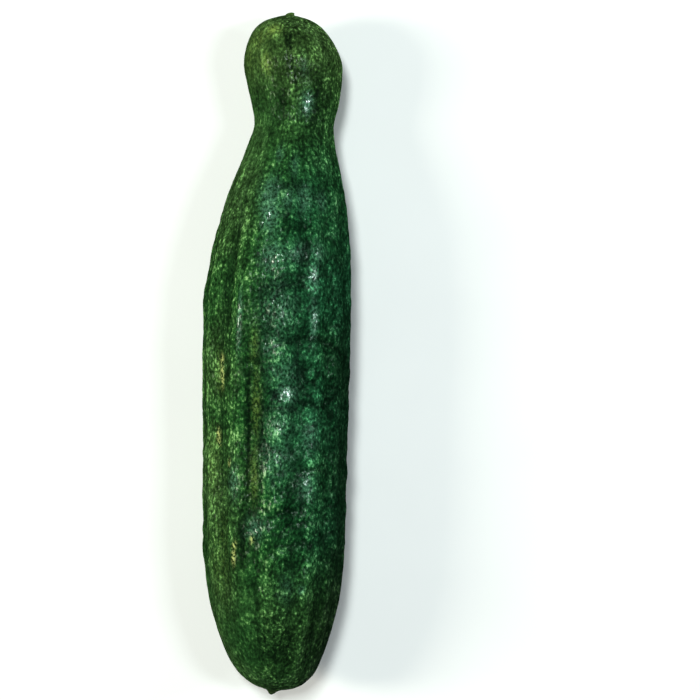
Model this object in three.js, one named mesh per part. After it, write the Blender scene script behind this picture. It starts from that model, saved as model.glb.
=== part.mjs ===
// A mini cucumber lying on its side: one fruit, grown in one piece from stem nub to blossom tip.
// Millimetres. The fruit's length lies along Y with the stem end at +Y, X runs across it and +Z
// is up. The origin is the middle of its underside, on the surface that it lies on.

import * as THREE from 'three';
import { mergeVertices } from 'three/addons/utils/BufferGeometryUtils.js';

// Driving dimensions. A place on the fruit is a distance along it from the blossom tip, and a
// turn round it from the top, towards +X.

const LENGTH = 140; // blossom tip to stem nub
const BODY_RADIUS = 14.85; // the mean surface at the thickest place
const NECK_RADIUS = 8.2; // the waist behind the knob
const KNOB_RADIUS = 10.1; // the round knob at the stem end
const NUB_RADIUS = 1.0; // what is left of the stem
const TIP_RADIUS = 1.5; // what is left of the flower
const THREE_SIDED = 0.02; // how far the section leaves a circle, as a share of its radius
const FLAT_DEPTH = 0.5; // how deep the fruit has settled where it rests

const RIDGES = 12;
const RIDGE_HEIGHT = 0.32; // above the mean surface, and the furrows as far below it
const RIDGE_VARIATION = 0.25; // how much higher or lower than that a ridge can be, as a share
const RIDGE_SWELL = 31; // distance along the fruit in which a ridge's height changes
const FIRST_RIDGE = 0.05; // turn in radians of the ridge next to the top
const RIDGE_STRAY = 0.05; // radians that a ridge strays from a straight line
const RIDGE_WAVE = 17; // distance along the fruit in which it strays

const BUMPS = 200;
const BUMP_HEIGHT = 0.4;
const BUMP_REACH = [1.5, 2.8]; // smallest and largest radius of a bump
const BUMP_STRETCH = 1.4; // how much longer than wide a bump is

const STEPS_AROUND = 72;
const STEPS_ALONG = 74;

// Half outline as [distance, radius]: the flower scar, the fruit, and the stem nub

const TIP = [
  [0, 0],
  [0.3, TIP_RADIUS * 0.6],
  [0.8, TIP_RADIUS],
];
const FRUIT = [
  [1.2, TIP_RADIUS * 2.2],
  [2.3, 5.3],
  [4.5, 7.7],
  [7.8, 9.6],
  [12.1, 11.2],
  [17.0, 12.6],
  [22.0, 13.5],
  [30.0, 14.2],
  [55.0, 14.6],
  [72.0, BODY_RADIUS],
  [85.0, 14.5],
  [95.6, 13.2],
  [102.2, 11.8],
  [107.1, 10.5],
  [110.4, 9.5],
  [113.7, 8.7],
  [117.0, NECK_RADIUS],
  [121.9, 9.1],
  [126.0, 9.8],
  [129.5, KNOB_RADIUS],
  [133.4, 9.0],
  [136.5, 7.1],
  [138.0, 5.2],
  [139.0, NUB_RADIUS * 2.4],
];
const NUB = [
  [139.4, NUB_RADIUS],
  [139.8, NUB_RADIUS * 0.5],
  [LENGTH, 0],
];

// How far the middle of the fruit lies to the side and above, as [distance, to +X, up]

const BOW = [
  [0, -0.9, 0.6],
  [0.7, -0.5, 0.6],
  [1.3, 1.0, 0.5],
  [2.6, 0.6, 0.5],
  [8, -0.1, 0.3],
  [20, -0.3, 0],
  [34, -0.3, -0.1],
  [60, 0, 0],
  [76, 0.3, 0.1],
  [86, 0.8, -0.1],
  [94, 1.5, -0.4],
  [102, 2.2, -0.9],
  [111, 3.0, -1.6],
  [118, 3.9, -2.0],
  [124, 3.9, -2.1],
  [130, 3.4, -2.1],
  [136, 2.7, -2.0],
  [139, 2.6, -2.0],
  [LENGTH, 3.2, -1.9],
];

// How far the ridges and the bumps stand out, each as a share, as [distance, ridges, bumps]

const RELIEF = [
  [0, 0, 0],
  [5, 0.2, 0.2],
  [16, 0.7, 0.6],
  [34, 1, 1],
  [90, 1, 1],
  [104, 0.7, 0.8],
  [116, 0.3, 0.5],
  [128, 0.2, 0.5],
  [136, 0.1, 0.3],
  [LENGTH, 0, 0],
];

// Single hollows of the skin, as [distance, turn in degrees, reach, depth]

const HOLLOWS = [
  [61.7, 3, 1.8, 0.5],
  [66.5, 27, 3.6, 0.3],
  [84.0, 20, 3.2, 0.3],
  [37.0, 45, 3.4, 0.3],
  [49.0, -52, 3.8, 0.3],
  [97.0, -24, 3.4, 0.3],
  [112.5, 66, 2.6, 0.3],
];

// A smooth curve through a table's rows, read at a distance

function between(rows, distance, column) {
  const last = rows.length - 1;
  const next = THREE.MathUtils.clamp(rows.findIndex((row) => row[0] >= distance), 1, last);
  const [before, low, high, after] = [next - 2, next - 1, next, next + 1]
    .map((index) => rows[THREE.MathUtils.clamp(index, 0, last)]);
  const span = high[0] - low[0];
  const share = (distance - low[0]) / span;
  const slopeLow = (span * (high[column] - before[column])) / (high[0] - before[0]);
  const slopeHigh = (span * (after[column] - low[column])) / (after[0] - low[0]);
  const eased = share * share * (3 - 2 * share);
  return THREE.MathUtils.lerp(low[column], high[column], eased)
    + slopeLow * share * (1 - share) ** 2
    - slopeHigh * share ** 2 * (1 - share);
}

// The section is round, very slightly three-sided, with its flattest side down

function sectionRadius(radius, turn) {
  return radius * (1 + THREE_SIDED * Math.cos(3 * turn));
}

// Ridges run the length of the fruit, closer together on the +X side, and stray a little. The
// pattern closes on itself at the bottom with a furrow, so the fruit rests on two ridges.

function ridgeRelief(distance, turn) {
  const stray = RIDGE_STRAY * Math.sin(distance / RIDGE_WAVE + 2 * turn) * Math.cos(turn / 2) ** 2;
  const crowding = (Math.PI + RIDGES * FIRST_RIDGE) * Math.sin(turn / 2) ** 2;
  const pattern = RIDGES * (turn - FIRST_RIDGE + stray) + crowding;
  const height = 1 + RIDGE_VARIATION * Math.sin(2 * turn + distance / RIDGE_SWELL);
  return RIDGE_HEIGHT * height * Math.cos(pattern) * between(RELIEF, distance, 1);
}

// Low bumps and hollows are scattered evenly by a fixed rule: whole turns are dropped from
// multiples of three numbers that never line up

function fraction(value) {
  return value - Math.floor(value);
}

const bumps = Array.from({ length: BUMPS }, (_, index) => ({
  distance: LENGTH * fraction(0.5 + index * 0.7549),
  turn: 2 * Math.PI * fraction(0.5 + index * 0.5698),
  reach: THREE.MathUtils.lerp(...BUMP_REACH, fraction(index * 0.381)),
  height: BUMP_HEIGHT * (2 * fraction(index * 0.618) - 0.8),
}));

const hollows = HOLLOWS.map(([distance, degrees, reach, depth]) => ({
  distance,
  turn: THREE.MathUtils.degToRad(degrees),
  reach,
  height: -depth,
}));

function bumpRelief(distance, turn, radius) {
  let sum = 0;
  for (const bump of [...bumps, ...hollows]) {
    const across = 2 * radius * Math.sin((turn - bump.turn) / 2);
    const along = (distance - bump.distance) / BUMP_STRETCH;
    sum += bump.height * Math.exp(-(across ** 2 + along ** 2) / bump.reach ** 2);
  }
  return sum * between(RELIEF, distance, 2);
}

// The half outline is turned round into a blank, whose ends close in a point

function turnedBlank() {
  const place = ([distance, radius]) => new THREE.Vector3(radius, distance, 0);
  const side = new THREE.CatmullRomCurve3(FRUIT.map(place), false, 'centripetal');
  const profile = [...TIP.map(place), ...side.getSpacedPoints(STEPS_ALONG), ...NUB.map(place)];
  const lathe = new THREE.LatheGeometry(profile, STEPS_AROUND);
  lathe.deleteAttribute('normal');
  lathe.deleteAttribute('uv');

  const blank = mergeVertices(lathe);
  const faces = [];
  for (let index = 0; index < blank.index.count; index += 3) {
    const face = [0, 1, 2].map((corner) => blank.index.getX(index + corner));
    if (new Set(face).size === 3) {
      faces.push(...face);
    }
  }
  blank.setIndex(faces);
  return blank;
}

// Each point of the blank gets its section, ridges, bumps and bow

function fruitGeometry() {
  const geometry = turnedBlank();
  const point = new THREE.Vector3();
  const { position } = geometry.attributes;
  for (let index = 0; index < position.count; index += 1) {
    point.fromBufferAttribute(position, index);
    const distance = point.y;
    const turn = Math.atan2(point.x, point.z);
    const mean = Math.hypot(point.x, point.z);
    const relief = ridgeRelief(distance, turn) + bumpRelief(distance, turn, mean);
    const radius = mean > 0 ? sectionRadius(mean, turn) + relief : 0;
    position.setXYZ(
      index,
      between(BOW, distance, 1) + radius * Math.sin(turn),
      distance,
      between(BOW, distance, 2) + radius * Math.cos(turn),
    );
  }
  return geometry;
}

// Where the fruit rests, it has settled a little, which leaves small flats on two ridges

function settle(geometry) {
  geometry.computeBoundingBox();
  const surface = geometry.boundingBox.min.z + FLAT_DEPTH;
  const { position } = geometry.attributes;
  for (let index = 0; index < position.count; index += 1) {
    position.setZ(index, Math.max(position.getZ(index), surface));
  }
}

function standAtOrigin(geometry) {
  geometry.computeBoundingBox();
  const { min, max } = geometry.boundingBox;
  geometry.translate(-(min.x + max.x) / 2, -(min.y + max.y) / 2, -min.z);
}

function cucumber() {
  const geometry = fruitGeometry();
  settle(geometry);
  standAtOrigin(geometry);
  geometry.computeVertexNormals();
  const skin = new THREE.MeshStandardMaterial({ color: 0x37602f, roughness: 0.45, metalness: 0 });
  const mesh = new THREE.Mesh(geometry, skin);
  mesh.name = 'cucumber';
  return mesh;
}

const object = new THREE.Group();
object.add(cucumber());

export default object;
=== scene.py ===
"""A mini cucumber lying on a pale floor, seen from straight above."""

import math

import bmesh
import bpy
import numpy as np
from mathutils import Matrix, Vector, geometry, noise


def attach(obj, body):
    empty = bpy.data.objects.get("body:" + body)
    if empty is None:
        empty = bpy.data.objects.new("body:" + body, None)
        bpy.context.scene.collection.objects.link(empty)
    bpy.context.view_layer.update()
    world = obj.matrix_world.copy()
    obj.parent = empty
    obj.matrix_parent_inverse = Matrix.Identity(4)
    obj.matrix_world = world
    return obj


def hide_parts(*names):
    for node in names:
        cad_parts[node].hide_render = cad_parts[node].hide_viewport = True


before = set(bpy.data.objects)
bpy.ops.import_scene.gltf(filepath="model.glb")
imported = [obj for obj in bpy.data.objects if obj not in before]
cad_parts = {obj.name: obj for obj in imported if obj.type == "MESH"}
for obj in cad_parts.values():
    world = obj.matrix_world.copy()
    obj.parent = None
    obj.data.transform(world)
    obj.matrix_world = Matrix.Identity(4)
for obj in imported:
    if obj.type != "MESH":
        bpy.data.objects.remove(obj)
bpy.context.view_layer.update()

# The fruit's driving dimensions, in millimetres. A place on the fruit is a distance along it
# from the blossom tip, and a turn round it from the top, towards +X.
MM = 0.001
LENGTH = 140.0  # blossom tip to stem nub
BODY_RADIUS = 14.85  # at the thickest place
NECK_RADIUS = 8.2  # at the waist below the knob
KNOB_RADIUS = 10.1
NUB_RADIUS = 1.0  # what is left of the stem
TIP_RADIUS = 1.0  # what is left of the flower
THREE_SIDED = 0.02  # how far the section leaves a circle, as a share of its radius
FLAT_DEPTH = 0.5  # how much of the underside is flattened where it rests

RIDGES = 12
RIDGE_HEIGHT = 0.32
RIDGE_VARIATION = 0.25  # how much higher or lower than that a ridge can be, as a share
RIDGE_SWELL = 31.0  # distance along the fruit per radian of that wave in height
FIRST_RIDGE = 0.05  # radians from the top to the first ridge, before it strays
RIDGE_STRAY = 0.05  # radians that a ridge strays from a straight line at most
RIDGE_WAVE = 17.0  # distance along the fruit per radian of that wave

BUMPS = 200
BUMP_HEIGHT = 0.4
BUMP_DROP = 0.8  # heights run from minus this share of BUMP_HEIGHT to 2 minus this share
BUMP_REACH = (1.5, 2.8)  # smallest and largest
BUMP_STRETCH = 1.4  # how much longer than wide a bump is
BUMP_STEPS = (0.7549, 0.5698, 0.381, 0.618)  # for its distance, turn, reach and height

# Half outline as (distance, radius): the flower scar, the fruit, and the stem nub
TIP = (
    (0, 0),
    (0.25, TIP_RADIUS * 0.55),
    (0.7, TIP_RADIUS),
    (1.15, TIP_RADIUS * 1.9),
    (1.5, TIP_RADIUS * 3.4),
)
FRUIT = (
    (1.5, TIP_RADIUS * 3.4),
    (2.3, 5.2),
    (4.5, 7.7),
    (7.8, 9.6),
    (12.1, 11.2),
    (17.0, 12.6),
    (22.0, 13.5),
    (30.0, 14.2),
    (55.0, 14.6),
    (72.0, BODY_RADIUS),
    (85.0, 14.5),
    (95.6, 13.2),
    (102.2, 11.8),
    (107.1, 10.5),
    (110.4, 9.5),
    (113.7, 8.7),
    (117.0, NECK_RADIUS),
    (121.9, 9.1),
    (126.0, 9.8),
    (129.5, KNOB_RADIUS),
    (133.4, 9.0),
    (136.5, 7.1),
    (138.0, 5.2),
    (139.0, NUB_RADIUS * 2.4),
)
NUB = (
    (139.0, NUB_RADIUS * 2.4),
    (139.4, NUB_RADIUS),
    (139.8, NUB_RADIUS * 0.75),
    (LENGTH, 0),
)
TIP_STEPS, FRUIT_STEPS, NUB_STEPS = 12, 276, 12
STEPS_AROUND = 320
BEZIER_POINTS = 16  # between two stations, before they are spaced evenly
WELD = 1e-4  # points closer than this are one point
ON_AXIS = 1e-6  # a point nearer to the axis than this lies on it

# How far the middle of the fruit lies to the side and above, as (distance, to +X, up)
BOW = (
    (0, -0.9, 0.6),
    (0.7, -0.6, 0.6),
    (1.15, -0.1, 0.6),
    (1.5, 0.7, 0.5),
    (2.6, 0.5, 0.5),
    (8, -0.1, 0.3),
    (20, -0.3, 0),
    (34, -0.3, -0.1),
    (60, 0, 0),
    (76, 0.3, 0.1),
    (86, 0.8, -0.1),
    (94, 1.5, -0.4),
    (102, 2.2, -0.9),
    (111, 3.0, -1.6),
    (118, 3.9, -2.0),
    (124, 3.9, -2.1),
    (130, 3.4, -2.1),
    (136, 2.7, -2.0),
    (139, 2.6, -2.0),
    (LENGTH, 3.2, -1.9),
)

# How far ridges and bumps stand out, each as a share, as (distance, ridges, bumps)
RELIEF = (
    (0, 0, 0),
    (5, 0.2, 0.2),
    (16, 0.7, 0.6),
    (34, 1, 1),
    (90, 1, 1),
    (104, 0.7, 0.8),
    (116, 0.3, 0.5),
    (128, 0.2, 0.5),
    (136, 0.1, 0.3),
    (LENGTH, 0, 0),
)

# Single hollows of the skin, as (distance, turn in degrees, reach, depth)
HOLLOWS = (
    (61.7, 3, 1.8, 0.5),
    (66.5, 27, 3.6, 0.3),
    (84.0, 20, 3.2, 0.3),
    (37.0, 45, 3.4, 0.3),
    (49.0, -52, 3.8, 0.3),
    (97.0, -24, 3.4, 0.3),
    (112.5, 66, 2.6, 0.3),
)

# The skin's fine relief. A squeeze below 1 draws a form out along the fruit.
PUCKER_HEIGHT, PUCKER_SIZE, PUCKER_SQUEEZE = 0.6, 3.4, 0.85
PUCKER_TOP = 0.6  # the noise is cut off here, which flattens the highest puckers
# The skin between puckers darkens with painted shade
PUCKER_HEM = 0.16  # below this noise the skin between puckers darkens
PUCKERED_TURN = 0.4  # in radians: puckers are highest here and on the opposite side
PUCKER_VARIATION = 0.35  # midway between those sides they are lower by twice this share
WARP_SCALE, WARP_REACH = 0.6, 0.5  # of the noise that bends the puckers
WRINKLE_HEIGHT, WRINKLE_SIZE, WRINKLE_SQUEEZE = 0.11, 1.5, 0.5
WRINKLE_FRACTAL = (1.0, 2.0, 3)  # increment, lacunarity and octaves
PIMPLE_HEIGHT, PIMPLE_SIZE, PIMPLE_SQUEEZE = 0.10, 1.7, 0.75
PIMPLE_RADIUS = 0.45  # as a share of PIMPLE_SIZE

# Creases across the skin, as (distance, turn of the middle, half width in degrees, rise of the
# middle over the ends, depth)
CREASES = (
    (102.6, 10, 20, 0.4, 0.22),
    (94.2, 16, 16, 0.6, 0.2),
    (82.6, 6, 20, 0.9, 0.18),
    (70.6, 26, 30, 2.2, 0.42),
    (66.5, 30, 9, -2.4, 0.3),
    (58.4, 6, 14, 0.6, 0.3),
    (61.0, 36, 22, -1.6, 0.25),
    (46.0, 34, 14, 0.8, 0.2),
    (39.2, 12, 12, -0.8, 0.2),
    (35.6, 30, 24, 0.5, 0.16),
    (33.8, 32, 22, 0.4, 0.14),
    (31.9, 30, 20, 0.3, 0.14),
)
CREASE_WIDTH = 0.65
# The creases darken with painted shade, darkest from DARKEST_CREASE on
DARKEST_CREASE = 0.2  # depth at which a crease is as dark as it gets

# Creases along the skin, as (distance, turn in degrees, length, width, depth)
GROOVES = (
    (131.0, -1, 9.0, 0.8, 0.25),
    (120.0, -16, 8.0, 0.7, 0.2),
    (118.5, 30, 9.0, 0.8, 0.25),
    (97.5, 3, 7.0, 0.7, 0.2),
    (89.5, 23, 4.5, 0.8, 0.35),
    (66.0, 21, 3.5, 0.8, 0.3),
    (80.0, -38, 30.0, 0.6, 0.1),
    (55.0, -20, 34.0, 0.7, 0.25),
    (52.0, -8, 26.0, 0.6, 0.2),
    (33.0, -24, 12.0, 0.7, 0.25),
)

# Healed scratches, as (distance, turn in degrees, width, stretch along the fruit, strength)
SCARS = (
    (68.6, -47, 0.45, 1.8, 1.0),
    (66.6, -46, 0.4, 1.5, 1.0),
    (64.8, -46, 0.5, 2.6, 1.0),
    (53.6, -52, 0.5, 2.2, 1.0),
    (51.8, -51, 0.4, 1.2, 1.0),
    (48.2, -37, 0.4, 1.5, 1.0),
    (31.8, -31, 0.45, 1.6, 1.0),
    (29.4, -32, 0.45, 2.9, 1.0),
    (33.0, -16, 0.35, 2.0, 1.0),
)

# Painted shade: darker places of the skin, most of them along the grooves, creases and hollows,
# with the same columns
PAINTED_SHADES = (
    (134.0, -2, 0.9, 2.0, 0.5),
    (131.0, -1, 0.8, 5.0, 0.35),
    (126.5, 3, 0.9, 2.5, 0.5),
    (122.5, -56, 0.9, 4.0, 0.5),
    (120.0, 36, 2.4, 3.0, 0.4),
    (118.0, -30, 1.6, 3.0, 0.4),
    (89.0, 22, 1.0, 3.5, 0.6),
    (82.6, 2, 3.0, 0.9, 0.5),
    (78.0, -2, 5.0, 1.4, 0.25),
    (81.5, -45, 0.8, 12.0, 0.4),
    (67.0, -10, 1.0, 3.0, 0.5),
    (65.0, 21, 1.2, 2.0, 0.6),
    (61.4, 1, 1.2, 1.0, 1.5),
    (56.0, -19, 0.7, 10.0, 0.5),
    (52.0, -8, 0.7, 10.0, 0.5),
    (40.0, 20, 3.0, 1.2, 0.4),
    (26.0, 18, 4.5, 1.5, 0.3),
    (33.5, -24, 0.9, 4.0, 0.5),
    (12.0, 8, 5.0, 1.2, 0.6),
    (11.0, 42, 1.2, 4.0, 0.5),
    (26.0, -38, 3.0, 2.5, 0.3),
    (30.0, -58, 6.0, 2.0, 0.3),
)

# Pale, yellowish patches, with the same columns
PATCHES = (
    (135.2, -22, 1.5, 0.8, 0.9),
    (133.5, -45, 2.5, 1.0, 0.25),
    (128.3, -32, 1.2, 1.5, 0.8),
    (131.0, -62, 3.0, 1.3, 0.2),
    (72.0, -15, 0.8, 5.0, 0.3),
    (60.0, -13, 0.8, 7.0, 0.45),
    (46.0, -14, 0.9, 5.0, 0.5),
    (48.0, -58, 2.0, 3.0, 0.2),
    (66.0, -50, 1.4, 3.0, 0.25),
    (30.0, -50, 3.0, 3.0, 0.15),
)

# Shiny, waxy places, with the same columns: real wax gloss, under a painted sheen of teal and
# lighter tone
WAX_AND_PAINTED_SHEENS = (
    (127.5, 14, 0.8, 3.0, 0.3),
    (120.3, 17, 1.2, 1.8, 1.0),
    (120.3, 18, 0.7, 2.2, 1.0),
    (110.0, -10, 0.8, 2.0, 0.6),
    (107.5, 8, 0.8, 2.5, 0.5),
    (101.2, -14, 1.8, 2.0, 1.0),
    (100.5, 3, 1.4, 1.5, 0.6),
    (100.5, 19, 1.5, 1.8, 0.8),
    (100.1, 38, 1.3, 1.3, 0.6),
    (96.5, -10, 1.5, 1.8, 1.0),
    (89.0, -4, 2.2, 1.5, 1.0),
    (89.6, 15, 1.6, 1.2, 0.7),
    (89.8, 33, 1.5, 1.2, 0.7),
    (84.8, 30, 1.0, 2.0, 1.4),
    (78.5, 2, 3.6, 1.3, 0.5),
    (76.5, -27, 0.5, 10.0, 1.15),
    (76.3, 31, 0.7, 5.0, 1.6),
    (71.4, -2, 2.0, 1.0, 0.5),
    (66.0, 7, 3.0, 1.2, 0.5),
    (61.6, 11, 1.6, 1.0, 1.0),
    (61.5, 12, 0.7, 1.0, 1.0),
    (56.0, 5, 2.4, 1.5, 0.5),
    (53.5, 30, 1.5, 2.0, 0.7),
    (48.5, 3, 3.2, 1.4, 0.5),
    (44.5, -32, 1.2, 2.5, 0.8),
    (43.2, 28, 1.6, 1.5, 0.8),
    (35.2, -13, 1.8, 1.2, 0.9),
    (23.2, 12, 1.4, 1.8, 0.3),
    (22.9, 25, 0.6, 1.2, 1.0),
)

# Where the nub's and the tip's own colours begin, and in what distance they become full
STEM_START, STEM_FADE = 138.6, 1.0
FLOWER_START, FLOWER_FADE = 1.8, 1.2


def spaced(stations, steps):
    """Evenly spaced (radius, distance) points on a smooth curve through the stations."""
    knots = [Vector((radius, distance)) for distance, radius in stations]
    ends = [knots[0], *knots, knots[-1]]
    slopes = [(after - before).normalized() for before, after in zip(ends, ends[2:])]
    curve = []
    for low, high, leave, arrive in zip(knots, knots[1:], slopes, slopes[1:]):
        reach = (high - low).length / 3
        handles = low + leave * reach, high - arrive * reach
        curve += geometry.interpolate_bezier(low, *handles, high, BEZIER_POINTS)
    curve = np.array(curve)
    run = np.concatenate([[0], np.cumsum(np.linalg.norm(np.diff(curve, axis=0), axis=1))])
    even = np.linspace(0, run[-1], steps + 1)
    return list(zip(np.interp(even, run, curve[:, 0]), np.interp(even, run, curve[:, 1])))


def between(rows, distance, column):
    """A smooth curve through a table's rows, read at each distance."""
    station = np.array([row[0] for row in rows], float)
    value = np.array([row[column] for row in rows], float)
    last = len(rows) - 1
    found = np.clip(np.searchsorted(station, distance), 1, last)
    before, low, high, after = (np.clip(found + step, 0, last) for step in (-2, -1, 0, 1))
    span = station[high] - station[low]
    share = (distance - station[low]) / span
    slope_low = span * (value[high] - value[before]) / (station[high] - station[before])
    slope_high = span * (value[after] - value[low]) / (station[after] - station[low])
    eased = share**2 * (3 - 2 * share)
    return (
        value[low] + (value[high] - value[low]) * eased
        + slope_low * share * (1 - share) ** 2
        - slope_high * share**2 * (1 - share)
    )


def ridge_pattern(distance, turn):
    """1 on a ridge and -1 in a furrow. Ridges are closer together on the +X side."""
    stray = RIDGE_STRAY * np.sin(distance / RIDGE_WAVE + 2 * turn) * np.cos(turn / 2) ** 2
    crowding = (math.pi + RIDGES * FIRST_RIDGE) * np.sin(turn / 2) ** 2
    return np.cos(RIDGES * (turn - FIRST_RIDGE + stray) + crowding)


def ridge_relief(distance, turn):
    height = 1 + RIDGE_VARIATION * np.sin(2 * turn + distance / RIDGE_SWELL)
    return RIDGE_HEIGHT * height * ridge_pattern(distance, turn) * between(RELIEF, distance, 1)


def fraction(value):
    return value - math.floor(value)


def scattered_bumps():
    """Low bumps and dips over the whole fruit, then the single hollows.

    Each measure of a bump comes from the fraction left of its number times a step.
    """
    smallest, largest = BUMP_REACH
    along, round_it, reach, height = BUMP_STEPS
    for index in range(BUMPS):
        yield (
            LENGTH * fraction(0.5 + index * along),
            2 * math.pi * fraction(0.5 + index * round_it),
            smallest + (largest - smallest) * fraction(index * reach),
            BUMP_HEIGHT * (2 * fraction(index * height) - BUMP_DROP),
        )
    for distance, degrees, reach, depth in HOLLOWS:
        yield distance, math.radians(degrees), reach, -depth


def spot(distance, turn, radius, middle, middle_turn, reach, stretch):
    """1 at the middle of a round spot, falling away in a bell curve."""
    across = 2 * radius * np.sin((turn - middle_turn) / 2)
    along = (distance - middle) / stretch
    return np.exp(-(across**2 + along**2) / reach**2)


def bump_relief(distance, turn, radius):
    total = np.zeros_like(distance)
    for middle, middle_turn, reach, height in scattered_bumps():
        total += height * spot(distance, turn, radius, middle, middle_turn, reach, BUMP_STRETCH)
    return total * between(RELIEF, distance, 2)


def crease_depth(distance, turn, radius):
    """Valleys across the ridges, each an arch that fades at both ends, then those along them."""
    total = np.zeros_like(distance)
    for middle, degrees, half_width, rise, depth in CREASES:
        share = (turn - math.radians(degrees)) / math.radians(half_width)
        line = middle + rise * (1 - share**2)
        total += depth * np.exp(-(share**4) - ((distance - line) / CREASE_WIDTH) ** 2)
    for middle, degrees, length, width, depth in GROOVES:
        middle_turn, stretch = math.radians(degrees), length / width / 2
        total += depth * spot(distance, turn, radius, middle, middle_turn, width, stretch)
    return total


def fine_relief(place, distance, turn, radius):
    """Puckers, wrinkles and pimples, and how deep in a crease of the skin each place is, which
    sets painted shade there.
    """
    loose = 1 - PUCKER_VARIATION + PUCKER_VARIATION * np.cos(2 * (turn - PUCKERED_TURN))
    loose *= between(RELIEF, distance, 1)
    pucker, grain = [], []
    for x, y, z in place:
        skin = Vector((x, y * PUCKER_SQUEEZE, z)) / PUCKER_SIZE
        # noise_vector isn't seeded here, so the puckers bend a little differently each run
        warp = noise.noise_vector(skin * WARP_SCALE) * WARP_REACH
        pucker.append(abs(noise.noise(skin + warp)))
        skin = Vector((x, y * WRINKLE_SQUEEZE, z)) / WRINKLE_SIZE
        wrinkle = noise.fractal(skin, *WRINKLE_FRACTAL)
        skin = Vector((x, y * PIMPLE_SQUEEZE, z)) / PIMPLE_SIZE
        nearest = noise.voronoi(skin)[0][0]
        pimple = max(0.0, 1 - nearest / PIMPLE_RADIUS) ** 2
        grain.append(WRINKLE_HEIGHT * wrinkle + PIMPLE_HEIGHT * pimple)
    pucker = np.array(pucker)
    crease = crease_depth(distance, turn, radius)
    relief = np.array(grain) + PUCKER_HEIGHT * loose * np.minimum(pucker, PUCKER_TOP) - crease
    # painted shade between the puckers and in the creases
    valley_shade = np.clip(1 - pucker / PUCKER_HEM, 0, 1) * loose + crease / DARKEST_CREASE
    return relief, np.clip(valley_shade, 0, 1)


def marks(rows, distance, turn, radius):
    """How strongly a table's spots cover each place."""
    total = np.zeros_like(distance)
    for middle, degrees, reach, stretch, strength in rows:
        middle_turn = math.radians(degrees)
        total += strength * spot(distance, turn, radius, middle, middle_turn, reach, stretch)
    return total


def turned_blank():
    """The half outline turned round the fruit's length, closed at both ends."""
    outline = spaced(TIP, TIP_STEPS)[:-1] + spaced(FRUIT, FRUIT_STEPS) + spaced(NUB, NUB_STEPS)[1:]
    blank = bmesh.new()
    chain = [blank.verts.new((radius, distance, 0)) for radius, distance in outline]
    for low, high in zip(chain, chain[1:]):
        blank.edges.new((low, high))
    bmesh.ops.spin(
        blank, geom=blank.verts[:] + blank.edges[:], cent=(0, 0, 0), axis=(0, 1, 0),
        angle=2 * math.pi, steps=STEPS_AROUND, use_merge=True,
    )
    bmesh.ops.remove_doubles(blank, verts=blank.verts, dist=WELD)
    return blank


def make_cucumber():
    blank = turned_blank()
    place = np.array([vert.co for vert in blank.verts])
    distance = place[:, 1]
    turn = np.arctan2(place[:, 0], place[:, 2])
    mean = np.hypot(place[:, 0], place[:, 2])
    on_axis = mean < ON_AXIS
    aside, up = between(BOW, distance, 1), between(BOW, distance, 2)

    smooth = mean * (1 + THREE_SIDED * np.cos(3 * turn))
    smooth += ridge_relief(distance, turn) + bump_relief(distance, turn, mean)
    smooth[on_axis] = 0
    fine, valley_shade = fine_relief(place, distance, turn, mean)
    radius = np.where(on_axis, 0, smooth + fine * between(RELIEF, distance, 2))

    # The smooth shape says where the fruit lies, as it does for the solid
    smooth_x = aside + smooth * np.sin(turn)
    surface = (up + smooth * np.cos(turn)).min() + FLAT_DEPTH
    x = aside + radius * np.sin(turn) - (smooth_x.min() + smooth_x.max()) / 2
    z = np.maximum(up + radius * np.cos(turn) - surface, 0)
    skin = np.stack([x, distance - LENGTH / 2, z], axis=1) * MM
    wrap = np.stack([np.sin(turn), distance / LENGTH, np.cos(turn)], axis=1)
    # The crease depth and the dark places carry painted shade, the waxy places a painted sheen
    # over real wax
    covering = {
        "ridge": ridge_pattern(distance, turn) * between(RELIEF, distance, 1),
        "valley_shade": valley_shade,
        "painted_shade": marks(PAINTED_SHADES, distance, turn, mean),
        "scar": marks(SCARS, distance, turn, mean),
        "pale": marks(PATCHES, distance, turn, mean),
        "wax_and_painted_sheen": marks(WAX_AND_PAINTED_SHEENS, distance, turn, mean),
        "stem": np.clip((distance - STEM_START) / STEM_FADE, 0, 1),
        "flower": np.clip((FLOWER_START - distance) / FLOWER_FADE, 0, 1),
    }

    layers = {name: blank.verts.layers.float.new(name) for name in SKIN_LAYERS}
    skin_place = blank.verts.layers.float_vector.new("skin_place")
    for index, vert in enumerate(blank.verts):
        vert.co = skin[index]
        vert[skin_place] = Vector(wrap[index])
        for name, values in covering.items():
            vert[layers[name]] = values[index]
    bmesh.ops.recalc_face_normals(blank, faces=blank.faces)
    blank.normal_update()
    for vert in blank.verts:
        vert[layers["upward"]] = vert.normal.z

    mesh = bpy.data.meshes.new("cucumber_skin")
    blank.to_mesh(mesh)
    blank.free()
    mesh.shade_smooth()
    cucumber = bpy.data.objects.new("cucumber_skin", mesh)
    bpy.context.collection.objects.link(cucumber)
    cucumber.data.materials.append(skin_material())
    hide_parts("cucumber")
    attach(cucumber, "root")


# Materials

def paint(text):
    """A colour's shader value from its usual hexadecimal name, by the sRGB curve."""
    parts = [int(text[index:index + 2], 16) / 255 for index in (1, 3, 5)]
    linear = [((part + 0.055) / 1.055) ** 2.4 if part > 0.04 else part / 12.92 for part in parts]
    return (*linear, 1)


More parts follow.
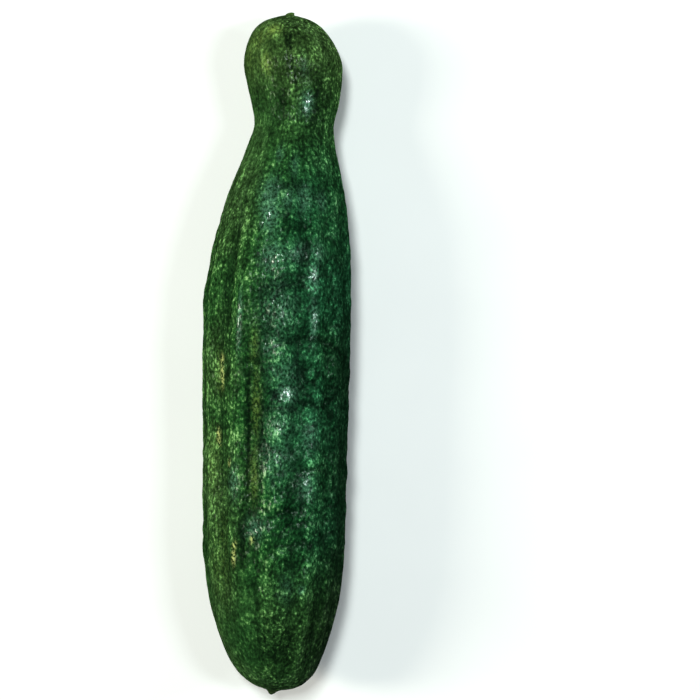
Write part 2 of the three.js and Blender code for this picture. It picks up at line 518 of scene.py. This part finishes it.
class Recipe:
    """A material's nodes, added one at a time and joined by their sockets."""

    def __init__(self, name):
        self.material = bpy.data.materials.new(name)
        self.material.use_nodes = True
        self.nodes = self.material.node_tree.nodes
        self.links = self.material.node_tree.links
        self.nodes.clear()

    def add(self, kind, inputs, **settings):
        node = self.nodes.new("ShaderNode" + kind)
        for name, value in settings.items():
            setattr(node, name, value)
        for name, value in inputs.items():
            if isinstance(value, bpy.types.NodeSocket):
                self.links.new(value, node.inputs[name])
            else:
                node.inputs[name].default_value = value
        return node

    def attribute(self, name, output="Fac"):
        return self.add("Attribute", {}, attribute_name=name).outputs[output]

    def stretched(self, place, scale):
        return self.add("Mapping", {"Vector": place, "Scale": scale}).outputs[0]

    def noise(self, place, scale, detail, roughness):
        inputs = {"Vector": place, "Scale": scale, "Detail": detail, "Roughness": roughness}
        return self.add("TexNoise", inputs).outputs[0]

    def cells(self, place, scale):
        inputs = {"Vector": place, "Scale": scale}
        return self.add("TexVoronoi", inputs, feature="SMOOTH_F1").outputs[0]

    def spread(self, value, low, high, to_low=0.0, to_high=1.0):
        inputs = {
            "Value": value, "From Min": low, "From Max": high, "To Min": to_low, "To Max": to_high,
        }
        return self.add("MapRange", inputs, interpolation_type="SMOOTHSTEP").outputs[0]

    def math(self, operation, first, second=0.0):
        return self.add("Math", {0: first, 1: second}, operation=operation).outputs[0]

    def times(self, first, second):
        return self.math("MULTIPLY", first, second)

    def plus(self, first, second):
        return self.math("ADD", first, second)

    def ramp(self, value, stops):
        node = self.add("ValToRGB", {"Fac": value})
        stretch = node.color_ramp.elements
        stretch[0].position, stretch[0].color = stops[0]
        stretch[1].position, stretch[1].color = stops[-1]
        for position, colour in stops[1:-1]:
            stretch.new(position).color = colour
        return node.outputs[0]

    def over(self, share, under, top, blend="MIX"):
        inputs = {"Factor": share, 6: under, 7: top}
        return self.add("Mix", inputs, data_type="RGBA", blend_type=blend).outputs[2]

    def bump(self, height, depth):
        inputs = {"Height": height, "Strength": 1.0, "Distance": depth}
        return self.add("Bump", inputs).outputs[0]


SKIN_LAYERS = (
    "ridge", "valley_shade", "painted_shade", "scar", "pale", "wax_and_painted_sheen", "upward", "stem", "flower",
)

# PIT, the near black, is laid on as painted shade and painted shadow, and darkens the blossom end
PIT = paint("#040e07")
DEEP_GREEN = paint("#0a2310")
MOSS_GREEN = paint("#153d1b")
LEAF_GREEN = paint("#1e5626")
FLECK_GREEN = paint("#457d3c")
SPARK_GREEN = paint("#9cc480")
# OLIVE and SEA_GREEN are the hues of painted warm and cool light on the two sides; OLIVE is also
# the skin's own at both ends
OLIVE = paint("#345028")
RIPE_OLIVE = paint("#40592c")
SEA_GREEN = paint("#1c4a2f")
# The teal below is a painted sheen on the waxy places
PAINTED_SHEEN_TEAL = paint("#64a07e")
PALE = paint("#8aa84e")
SCAR = paint("#c6cf7c")
STEM = paint("#46602c")
FLOWER = paint("#2a3c1e")

# The skin's colours from its darkest dots to its brightest flecks
MOTTLING = (
    (0.40, DEEP_GREEN), (0.48, MOSS_GREEN), (0.545, LEAF_GREEN), (0.60, FLECK_GREEN),
    (0.655, SPARK_GREEN),
)
MIDDLE_TONE = 0.515  # what faint flecks fade towards
GRAIN_DEPTH, DASH_DEPTH = 0.0003, 0.00045  # metres


def skin_material():
    """Dark green skin with paler flecks, tinted olive by painted warm light on one side and sea
    green by painted cool light on the other, with a painted shadow on that side.
    """
    make = Recipe("cucumber_skin")
    place = make.add("TexCoord", {}).outputs["Object"]
    wrap = make.attribute("skin_place", "Vector")
    ridge, valley_shade, painted_shade, scar, pale, wax_and_painted_sheen, upward, stem, flower = (
        make.attribute(name) for name in SKIN_LAYERS
    )
    split = make.add("SeparateXYZ", {"Vector": wrap})
    side, along = split.outputs["X"], split.outputs["Y"]

    # Grain, in cells per metre. Only the pleats go by turn and length, and run along the fruit.
    mottle = make.noise(make.stretched(place, (1, 0.8, 1)), 280, 6, 0.78)
    flecks = make.noise(make.stretched(place, (1, 0.75, 1)), 2000, 3, 0.65)
    dots = make.cells(make.stretched(place, (1, 0.7, 1)), 1650)
    dashes = make.noise(make.stretched(place, (1, 0.4, 1)), 1100, 1, 0.5)
    clouds = make.noise(place, 50, 2, 0.5)
    lumps = make.noise(place, 600, 1, 0.5)
    pleats = make.noise(make.stretched(wrap, (13, 2.4, 13)), 1, 3, 0.6)

    # Where on the fruit each finish lies: side is -1 to 1 across it, along is 0 to 1
    off_middle = make.math("ABSOLUTE", make.plus(along, -0.48))
    ends = make.spread(off_middle, 0.2, 0.38)
    knob = make.spread(along, 0.83, 0.93)
    pleated = make.spread(side, 0.6, -0.3, 0.3, 1.0)
    pebbled = make.spread(along, 0.35, 0.15, 0.3, 1.0)

    # The tone picks the colour. Each of these makes it lighter or darker.
    tone = make.plus(make.times(mottle, 0.5), make.times(flecks, 0.49))
    for lift in (
        make.spread(dots, 0.7, 0.1, -0.03, 0.055),
        make.times(make.spread(pleats, 0.36, 0.64, -0.03, 0.03), pleated),
        make.times(make.spread(lumps, 0.35, 0.65, -0.02, 0.025), pebbled),
        # painted highlight on the ridge crests and painted shade in the furrows
        make.times(ridge, 0.012),
        make.times(knob, make.spread(side, -0.6, 0.4, -0.008, 0.022)),
        # painted light on the top of the knob
        make.spread(along, 0.95, 0.99, 0.0, 0.015),
        # painted light on the left side
        make.spread(side, -0.2, -0.6, 0.0, 0.012),
        # painted shade in the dark places
        make.times(painted_shade, -0.06),
        make.times(pale, 0.055),
        # painted sheen on the waxy places
        make.times(wax_and_painted_sheen, 0.012),
    ):
        tone = make.plus(tone, lift)

    # The flecks are fainter on the left side towards both ends
    faint = make.times(make.spread(side, 0.0, -0.5, 0.0, 0.35), make.spread(off_middle, 0.2, 0.34))
    tone = make.plus(tone, make.times(faint, make.math("SUBTRACT", MIDDLE_TONE, tone)))
    colour = make.ramp(tone, MOTTLING)

    # Tints and marks lie over it, the last on top
    # Painted warm light tints the left side olive; the olive of both ends is the skin's own
    painted_warm_light_and_olive_ends = make.math("MAXIMUM", make.spread(side, 0.1, -0.8), make.times(ends, 0.8))
    painted_warm_light_and_olive_ends = make.times(painted_warm_light_and_olive_ends, make.spread(clouds, 0.25, 0.6, 0.3, 0.85))
    # Painted cool light tints the right side sea green
    right = make.spread(side, -0.3, 0.6)
    painted_cool_light = make.math("SUBTRACT", right, make.times(ends, right))
    painted_cool_light = make.times(painted_cool_light, make.spread(clouds, 0.7, 0.35, 0.5, 0.9))
    # Painted shadow: the right flank darkens towards near black, less towards the stem end
    painted_shadow_right = make.times(
        make.spread(side, 0.45, 1.0, 0, 0.75), make.spread(along, 0.8, 0.45, 0.1, 1.0)
    )
    # Painted shade in the furrows, deeper on the left side
    furrow = make.times(make.spread(ridge, -0.4, -1.0), make.spread(side, 0.1, -0.6, 0.15, 0.35))
    for share, top, blend in (
        (painted_warm_light_and_olive_ends, OLIVE, "COLOR"),
        (painted_cool_light, SEA_GREEN, "COLOR"),
        (make.times(knob, 0.6), RIPE_OLIVE, "COLOR"),
        (painted_shadow_right, PIT, "MIX"),
        # darker towards the blossom end
        (make.spread(along, 0.2, 0.03, 0, 0.25), PIT, "MIX"),
        (furrow, DEEP_GREEN, "MIX"),
        # painted shade in the creases and between the puckers
        (make.times(valley_shade, 0.7), PIT, "MIX"),
        # painted shade in the dark places
        (make.times(painted_shade, make.spread(flecks, 0.68, 0.4, 0.3, 0.9)), PIT, "MIX"),
        (make.times(pale, 0.55), PALE, "COLOR"),
        (make.times(pale, make.spread(flecks, 0.42, 0.6, 0.05, 0.65)), PALE, "MIX"),
        # painted sheen on the waxy places
        (make.times(wax_and_painted_sheen, 0.4), PAINTED_SHEEN_TEAL, "COLOR"),
        (make.times(wax_and_painted_sheen, make.spread(flecks, 0.38, 0.66, 0.03, 0.45)), PAINTED_SHEEN_TEAL, "MIX"),
        (make.times(scar, make.spread(flecks, 0.44, 0.58)), SCAR, "MIX"),
        (stem, STEM, "MIX"),
        (flower, FLOWER, "MIX"),
    ):
        colour = make.over(share, colour, top, blend)

    # Wax lies on the raised flecks, most of it on top, and catches the light in short dashes
    glossy = make.times(make.times(wax_and_painted_sheen, wax_and_painted_sheen), 1.1)
    wax = make.plus(make.spread(clouds, 0.3, 0.7, 0.03, 0.14), glossy)
    wax = make.times(wax, make.spread(upward, 0.45, 0.85, 0.25, 1.0))
    wax = make.times(wax, make.spread(tone, 0.46, 0.58, 0.1, 1.0))
    grain = make.math("SUBTRACT", make.times(lumps, 0.35), make.times(dots, 0.8))
    shader = make.add("BsdfPrincipled", {
        "Base Color": colour,
        "Roughness": 0.6,
        "Specular IOR Level": 0.0,
        "Normal": make.bump(grain, GRAIN_DEPTH),
        "Coat Weight": wax,
        "Coat Roughness": 0.18,
        "Coat IOR": 1.7,
        "Coat Normal": make.bump(dashes, DASH_DEPTH),
    })
    make.add("OutputMaterial", {"Surface": shader.outputs[0]})
    return make.material


def floor_material():
    make = Recipe("pale_floor")
    place = make.add("TexCoord", {}).outputs["Object"]
    tone = make.spread(make.noise(place, 30, 3, 0.5), 0.3, 0.7)
    colour = make.over(tone, (0.95, 0.92, 0.92, 1), (0.97, 0.94, 0.94, 1))
    shader = make.add("BsdfPrincipled", {"Base Color": colour, "Roughness": 0.8})
    make.add("OutputMaterial", {"Surface": shader.outputs[0]})
    return make.material


# The stage

PHOTO = 700  # pixels, each way
FRUIT_PIXELS = 682  # the fruit's length in the photograph
FRUIT_MIDDLE = (276.5, 352.5)  # pixels, the middle of the fruit's box in the photograph
PIXEL = LENGTH * MM / FRUIT_PIXELS
LENS, SENSOR = 100.0, 36.0  # millimetres
WIDEST_HEIGHT = 0.0135  # height in metres at which a pixel measures PIXEL
FLOOR_REACH = 3.0  # metres
WORLD_STRENGTH = 0.06

# Lamps, as (name, place and size in metres, watts, colour), all turned to the origin
LAMPS = (
    ("overhead", (-0.06, 0.14, 0.7), (0.1, 0.14), 3.4, (0.88, 1.0, 0.97)),
    ("window", (0.34, 0.0, 0.6), (0.08, 0.14), 1.1, (0.85, 0.96, 1.0)),
    ("left_fill", (-0.6, 0.0, 0.45), (0.12, 0.25), 2.7, (1.0, 0.97, 0.82)),
    ("right_edge", (0.62, 0.05, 0.36), (0.05, 0.12), 0.6, (0.84, 0.98, 0.96)),
)


def make_floor():
    mesh = bpy.data.meshes.new("floor")
    plane = bmesh.new()
    bmesh.ops.create_grid(plane, x_segments=1, y_segments=1, size=FLOOR_REACH)
    plane.to_mesh(mesh)
    plane.free()
    floor = bpy.data.objects.new("floor", mesh)
    floor.data.materials.append(floor_material())
    bpy.context.collection.objects.link(floor)


def make_camera():
    data = bpy.data.cameras.new("camera")
    data.lens, data.sensor_width = LENS, SENSOR
    camera = bpy.data.objects.new("camera", data)
    away = PHOTO * PIXEL * LENS / SENSOR
    aside = (PHOTO / 2 - FRUIT_MIDDLE[0]) * PIXEL
    along = (FRUIT_MIDDLE[1] - PHOTO / 2) * PIXEL
    camera.location = (aside, along, WIDEST_HEIGHT + away)
    bpy.context.collection.objects.link(camera)
    bpy.context.scene.camera = camera


def make_light(name, place, size, power, colour):
    data = bpy.data.lights.new(name, "AREA")
    data.shape, data.size, data.size_y = "RECTANGLE", *size
    data.energy, data.color = power, colour
    light = bpy.data.objects.new(name, data)
    light.location = place
    light.rotation_euler = (-Vector(place)).to_track_quat("-Z", "Y").to_euler()
    bpy.context.collection.objects.link(light)


def make_world():
    world = bpy.data.worlds.new("studio")
    world.use_nodes = True
    background = world.node_tree.nodes["Background"]
    background.inputs["Color"].default_value = (1, 1, 1, 1)
    background.inputs["Strength"].default_value = WORLD_STRENGTH
    bpy.context.scene.world = world


make_camera()
make_floor()
make_world()
for lamp in LAMPS:
    make_light(*lamp)
make_cucumber()
bpy.context.scene.view_settings.view_transform = "Standard"
